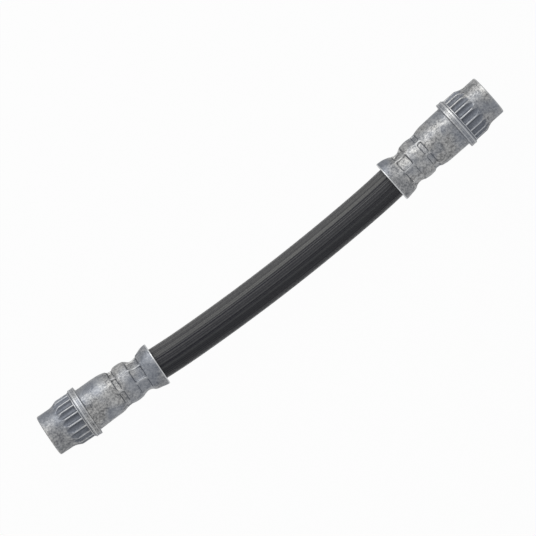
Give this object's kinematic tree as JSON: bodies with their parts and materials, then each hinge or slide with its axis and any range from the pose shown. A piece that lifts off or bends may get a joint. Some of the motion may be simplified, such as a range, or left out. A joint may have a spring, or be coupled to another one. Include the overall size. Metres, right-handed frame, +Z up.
{
  "type": "hydraulic brake hose",
  "caption": "Short rubber hydraulic hose with a crimped, zinc-plated steel end fitting at each end, each with a splined neck, a collar and a female port.",
  "frame": {"origin": "middle of the object's box, on the surface that it lies on", "axes": "+X from the left fitting to the right one, +Z up, and the hose bows towards -Y"},
  "size_m": [0.1746, 0.0178, 0.0171],
  "materials": {
    "hose_rubber": "matte charcoal-black rubber with fine ribs along its length",
    "zinc_steel": "mottled, frosty zinc plating",
    "insert_steel": "plain drawn steel"
  },
  "bodies": {
    "root": {"hose": "hose_rubber", "left_end_fitting": "zinc_steel", "right_end_fitting": "zinc_steel", "left_insert_tube": "insert_steel", "right_insert_tube": "insert_steel"}
  },
  "joints": []
}
